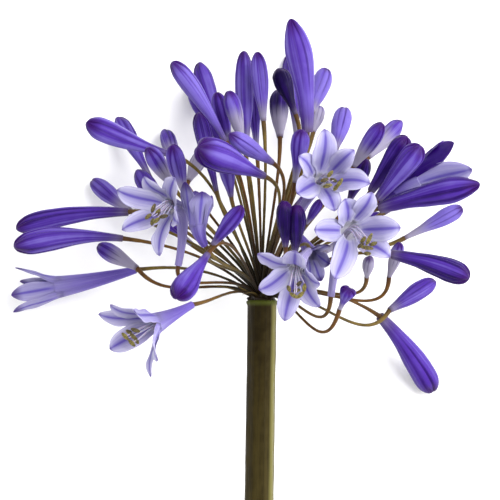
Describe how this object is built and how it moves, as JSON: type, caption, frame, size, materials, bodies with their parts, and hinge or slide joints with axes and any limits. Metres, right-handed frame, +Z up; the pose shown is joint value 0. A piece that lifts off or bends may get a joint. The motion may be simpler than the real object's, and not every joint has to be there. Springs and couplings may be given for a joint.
{
  "type": "cut agapanthus flower stem",
  "caption": "Cut agapanthus stem lying on a surface: a thick scape that ends in an umbel of thin pedicels with violet buds, opening flowers and pale open blooms.",
  "frame": {"origin": "on the surface that the stem lies on, under the middle of its bounding box", "axes": "+Y along the stem from the cut end of the scape towards the umbel, +X across the umbel, +Z up off the surface"},
  "size_m": [0.1872, 0.314, 0.1244],
  "materials": {
    "scape": "fresh olive green stem, soft satin",
    "pedicels": "brown olive flower stalks, soft satin",
    "bud": "violet petal tissue, darker at the seams and the tip, soft sheen",
    "opening": "violet petal tissue, paler inside, soft sheen",
    "bloom": "pale lavender petal tissue with a violet stripe down each tepal",
    "stamens": "pale filaments with yellow olive pollen sacs"
  },
  "bodies": {
    "root": {"bloom_1": "bloom", "bloom_2": "bloom", "bloom_3": "bloom", "bloom_4": "bloom", "bloom_5": "bloom", "bud_01": "bud", "bud_02": "bud", "bud_03": "bud", "bud_04": "bud", "bud_05": "bud", "bud_06": "bud", "bud_07": "bud", "bud_08": "bud", "bud_09": "bud", "bud_10": "bud", "bud_11": "bud", "bud_12": "bud", "bud_13": "bud", "bud_14": "bud", "bud_15": "bud", "bud_16": "bud", "bud_17": "bud", "bud_18": "bud", "bud_19": "bud", "bud_20": "bud", "bud_21": "bud", "bud_22": "bud", "bud_23": "bud", "bud_24": "bud", "bud_25": "bud", "bud_26": "bud", "bud_27": "bud", "bud_28": "bud", "bud_29": "bud", "bud_30": "bud", "bud_31": "bud", "bud_32": "bud", "bud_33": "bud", "bud_34": "bud", "bud_35": "bud", "bud_36": "bud", "bud_37": "bud", "bud_38": "bud", "bud_39": "bud", "bud_40": "bud", "bud_41": "bud", "bud_42": "bud", "bud_43": "bud", "bud_pair": "bud", "opening_1": "opening", "opening_2": "opening", "opening_3": "opening", "opening_4": "opening", "pedicels": "pedicels", "scape": "scape", "stamens_1": "stamens", "stamens_2": "stamens", "stamens_3": "stamens", "stamens_4": "stamens", "stamens_5": "stamens"}
  },
  "joints": []
}
